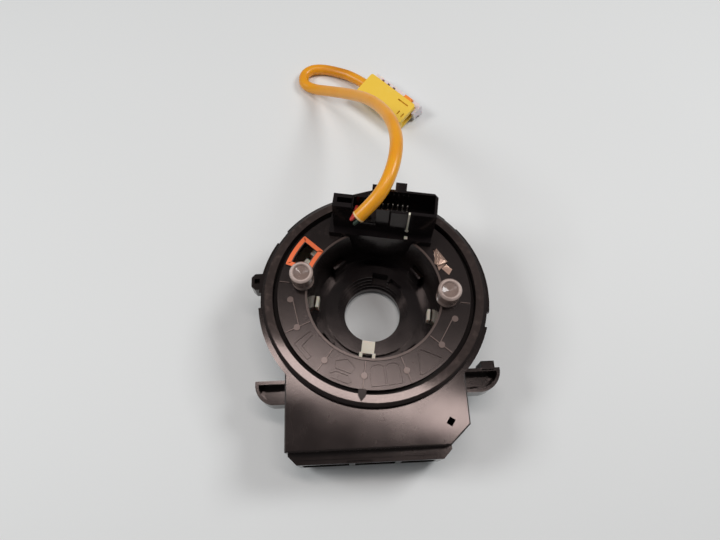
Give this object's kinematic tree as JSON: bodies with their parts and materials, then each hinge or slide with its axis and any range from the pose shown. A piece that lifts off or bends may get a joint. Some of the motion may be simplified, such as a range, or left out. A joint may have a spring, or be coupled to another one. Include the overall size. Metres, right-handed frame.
{
  "type": "steering clock spring",
  "caption": "Rotary contact unit for a steering column: a disc turning on a flat-cable housing, with plug sockets, a connector block, an angle sensor and an airbag lead.",
  "frame": {"origin": "centre of the column bore at its lower mouth", "axes": "+Z along the steering axis towards the driver, +Y towards the connector block, -Y towards the plug sockets"},
  "size_m": [0.1303, 0.2766, 0.0849],
  "materials": {
    "black_gloss": "satin black moulded plastic",
    "black_matte": "fine grained black moulded plastic",
    "white_clear": "frosted translucent soft plastic",
    "ivory": "unpigmented acetal",
    "amber": "amber film",
    "sleeve": "soft orange sleeve",
    "red": "wire insulation",
    "dark": "wire insulation",
    "yellow": "yellow moulded plastic",
    "pale": "pale translucent moulded plastic",
    "orange": "orange moulded plastic",
    "board": "glass fibre board",
    "chip": "moulded packages",
    "tin": "tinned contacts",
    "steel": "zinc plated steel"
  },
  "bodies": {
    "stator": {"stator_housing": "black_gloss", "lower_cover": "black_matte", "cover_screws": "steel", "stator_terminals": "tin", "sensor_board": "board", "board_chips": "chip", "cable_block": "black_matte", "flat_cable": "amber"},
    "rotor": {"rotor_cover": "black_gloss", "left_guide_bush": "white_clear", "right_guide_bush": "white_clear", "connector_shell": "black_matte", "rotor_terminals": "tin", "terminal_lock": "ivory", "rotor_hub": "black_gloss", "sensor_drive_gear": "ivory", "cable_tail": "amber", "lead_plug": "yellow", "lead_sleeve": "sleeve", "red_wire": "red", "dark_wire": "dark", "squib_body": "yellow", "squib_contacts": "tin", "squib_cover": "pale"},
    "plug_lock": {"squib_lock": "orange"},
    "gear_a": {"sensor_gear_a": "ivory", "magnet_a": "steel"},
    "gear_b": {"sensor_gear_b": "ivory", "magnet_b": "steel"},
    "carrier": {"roller_carrier": "ivory"},
    "roller": {"turn_roller": "ivory"}
  },
  "joints": [
    {"name": "rotor_turn", "type": "hinge", "parent": "stator", "child": "rotor", "pos_m": [0, 0, 0], "axis": [0, 0, 1], "range_deg": [-890.5, 909.5], "deforming": ["flat_cable"]},
    {"name": "gear_a_turn", "type": "hinge", "parent": "stator", "child": "gear_a", "pos_m": [-0.02103, -0.03956, 0], "axis": [0, 0, 1], "range_deg": [-3339.8, 3270.2]},
    {"name": "gear_b_turn", "type": "hinge", "parent": "stator", "child": "gear_b", "pos_m": [0.02141, -0.04026, 0], "axis": [0, 0, 1], "range_deg": [-3083.3, 3019]},
    {"name": "carrier_turn", "type": "hinge", "parent": "stator", "child": "carrier", "pos_m": [0, 0, 0], "axis": [0, 0, 1], "range_deg": [-364, 371.6]},
    {"name": "roller_turn", "type": "hinge", "parent": "carrier", "child": "roller", "pos_m": [-0.02253, 0.04238, 0], "axis": [0, 0, 1], "range_deg": [-3690.3, 3613.3]},
    {"name": "plug_lock_slide", "type": "slide", "parent": "rotor", "child": "plug_lock", "axis": [-0.1814, -0.175, 0.9677], "range_m": [0, 0.0025]}
  ],
  "couplings": [
    {"joint": "gear_a_turn", "follows": "rotor_turn", "ratio": -3.6667},
    {"joint": "gear_b_turn", "follows": "rotor_turn", "ratio": -3.3846},
    {"joint": "carrier_turn", "follows": "rotor_turn", "ratio": 0.4031},
    {"joint": "roller_turn", "follows": "rotor_turn", "ratio": -4.052}
  ]
}
